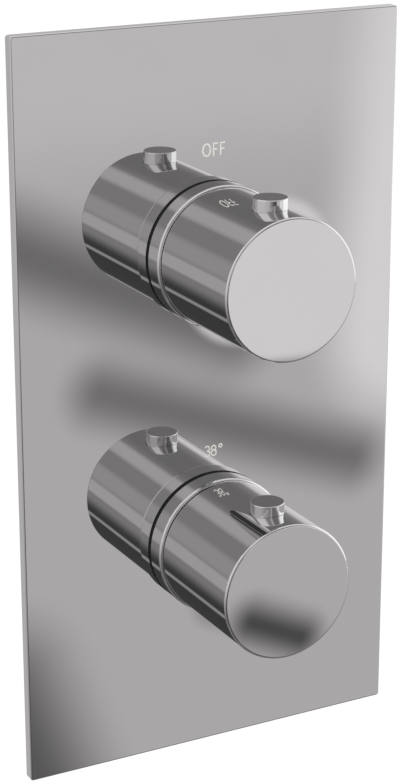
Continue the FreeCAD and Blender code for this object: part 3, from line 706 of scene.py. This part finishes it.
def card_ahead(tree, right, up, start, end, half_width, softness):
    """1 on a long soft card with round ends, from start to end."""
    length = math.hypot(end[0] - start[0], end[1] - start[1])
    turn_right = (end[0] - start[0]) / length
    turn_up = (end[1] - start[1]) / length
    along = (right - start[0]) * turn_right + (up - start[1]) * turn_up
    across = (up - start[1]) * turn_right - (right - start[0]) * turn_up
    past = tree.most(abs(along - length / 2) - length / 2, 0.0)
    away = tree.maths("SQRT", across * across + past * past)
    return tree.soft_step(away, half_width + softness, half_width)


def studio_tone(tree, place):
    """Soft tones of the studio by direction, seen from the plate."""
    x, y, z = tree.split(place)
    ahead = tree.most(-y, 0.02)
    right = x / ahead
    up = z / ahead
    distance = tree.most(tree.maths("SQRT", right * right + up * up), 0.001)

    # The cards round the axis, then plain walls that are light above and dark below
    around = card_grey(0.28)
    for middle, half_width, softness, grey in CARDS_ROUND:
        mask = round_card(tree, right, up, distance, middle, half_width, softness)
        around = tree.mix(mask, around, card_grey(grey))
    walls = tree.mix(tree.soft_step(up / distance, -0.8, 0.2), card_grey(0.20), card_grey(0.80))
    around = tree.mix(tree.soft_step(distance, 0.95, 2.20), around, walls)

    # Behind the plate the walls are grey, and white higher up and to the side
    pale = colour(0.98, 0.98, 0.98)
    rear = tree.mix(tree.soft_step(z, 0.35, 0.75), card_grey(0.50), pale)
    rear = tree.mix(tree.soft_step(abs(x - 0.80), 0.32, 0.16), rear, pale)
    around = tree.mix(tree.soft_step(y, 0.45, 0.80), around, rear)

    # A bright window on the right
    window = tree.soft_step(x, 0.78, 0.90) * tree.soft_step(z, -0.27, -0.20)
    around = tree.mix(window, around, colour(1.22, 1.22, 1.22))

    # The cards ahead, faded out at the edges of what the plate's lower part mirrors
    tone = around
    for start, end, half_width, softness, grey in CARDS_AHEAD:
        mask = card_ahead(tree, right, up, start, end, half_width, softness)
        tone = tree.mix(mask, tone, card_grey(grey))
    inside = tree.soft_step(right, 0.37, 0.39) * tree.soft_step(right, 0.71, 0.69)
    inside = inside * tree.soft_step(up, -0.11, -0.13) * tree.soft_step(up, -0.68, -0.66)
    return tree.mix(inside, around, tone)


def reflected_studio():
    """A tent round the valve that only mirrors see, with the studio's soft cards on it."""
    bpy.ops.mesh.primitive_uv_sphere_add(segments=96, ring_count=48, radius=TENT_RADIUS,
                                         location=(0.0, PLATE_FRONT, 0.0))
    tent = bpy.context.object
    tent.name = "studio_tent"
    tent.visible_camera = False
    tent.visible_diffuse = False
    tent.visible_transmission = False
    tent.visible_shadow = False
    material = bpy.data.materials.new("studio_cards")
    tree = Tree(material)
    place = tree.add("ShaderNodeVectorMath", {"operation": "NORMALIZE"}, {0: tree.place()})
    glow = tree.add("ShaderNodeEmission", {}, {"Color": studio_tone(tree, place), "Strength": 1.0})
    tree.add("ShaderNodeOutputMaterial", {}, {"Surface": glow})
    tent.data.materials.append(material)


def white_room():
    """White surroundings for the camera and for mirrors, and plain even light on everything."""
    world = bpy.data.worlds.new("white_room")
    scene.world = world
    tree = Tree(world)
    glow = tree.add("ShaderNodeBackground", {},
                    {"Color": colour(1.0, 1.0, 1.0), "Strength": 0.8 + 0.2 * tree.shown()})
    tree.add("ShaderNodeOutputWorld", {}, {"Surface": glow})


def pale_floor():
    """Matt white floor, with a little glow of its own where it is seen."""
    bpy.ops.mesh.primitive_plane_add(size=60.0, location=(0.0, 0.0, FLOOR_LEVEL))
    floor = bpy.context.object
    floor.name = "floor"
    material = bpy.data.materials.new("pale_floor")
    tree = Tree(material)
    matt = tree.add("ShaderNodeBsdfDiffuse", {}, {"Color": colour(0.9, 0.9, 0.9)})
    white = tree.add("ShaderNodeEmission", {},
                     {"Color": colour(1.0, 1.0, 1.0), "Strength": 0.3 * tree.shown()})
    both = tree.add("ShaderNodeAddShader", {}, {0: matt, 1: white})
    tree.add("ShaderNodeOutputMaterial", {}, {"Surface": both})
    floor.data.materials.append(material)


def soft_lamp(name, place, size, power):
    """Round lamp that faces the valve, hidden from mirrors."""
    lamp = bpy.data.lights.new(name, "AREA")
    lamp.shape = "DISK"
    lamp.size = size
    lamp.energy = power
    lit = bpy.data.objects.new(name, lamp)
    lit.location = place
    lit.rotation_mode = "QUATERNION"
    lit.rotation_quaternion = Vector(place).to_track_quat("Z", "Y")
    lit.visible_glossy = False
    scene.collection.objects.link(lit)


def camera():
    """Camera at the photograph's viewpoint, from the front left and a little above."""
    eye = bpy.data.cameras.new("camera")
    eye.lens = 100.66
    eye.sensor_width = 36.0
    eye.shift_x = -0.0524
    eye.shift_y = 0.0163
    eye.clip_start = 0.01
    eye.clip_end = 60.0
    stand = bpy.data.objects.new("camera", eye)
    stand.location = (-0.25911, -0.55259, 0.18744)
    stand.rotation_euler = [math.radians(angle) for angle in (71.02329, -0.30378, -28.77225)]
    scene.collection.objects.link(stand)
    scene.camera = stand


finish_nodes()
painted_words()
foam_strip()
for knob, height in (("flow", AXIS_HEIGHT), ("temp", -AXIS_HEIGHT)):
    seal_lip(knob, height)
pipe_thread("hot_inlet_thread", x=-INLET_OFFSET, mouth=-PORT_REACH, inwards=1)
pipe_thread("cold_inlet_thread", x=INLET_OFFSET, mouth=-PORT_REACH, inwards=1)
pipe_thread("outlet_thread", x=0.0, mouth=PORT_REACH, inwards=-1)
for side in ("hot", "cold"):
    gauze_strainer(side, side + "_strainer")
    coil_spring(side + "_check_spring", axis=2, radius=0.0036, wire=0.0003, turns=4,
                still="housing", moving=side + "_check")
for knob in ("flow", "temp"):
    coil_spring(knob + "_button_spring", axis=2, radius=0.0025, wire=0.0003, turns=4,
                still=knob + "_knob", moving=knob + "_button")
coil_spring("thermo_overload_spring", axis=1, radius=0.0042, wire=0.0005, turns=3,
            still="thermostat")
coil_spring("thermo_return_spring", axis=1, radius=0.0071, wire=0.00055, turns=4,
            still="housing", moving="thermostat")
reflected_studio()
white_room()
pale_floor()
soft_lamp("right_lamp", place=(1.2, -0.2, 0.6), size=0.7, power=4.0)
soft_lamp("left_lamp", place=(-0.9, -0.9, 0.7), size=0.5, power=2.0)
camera()
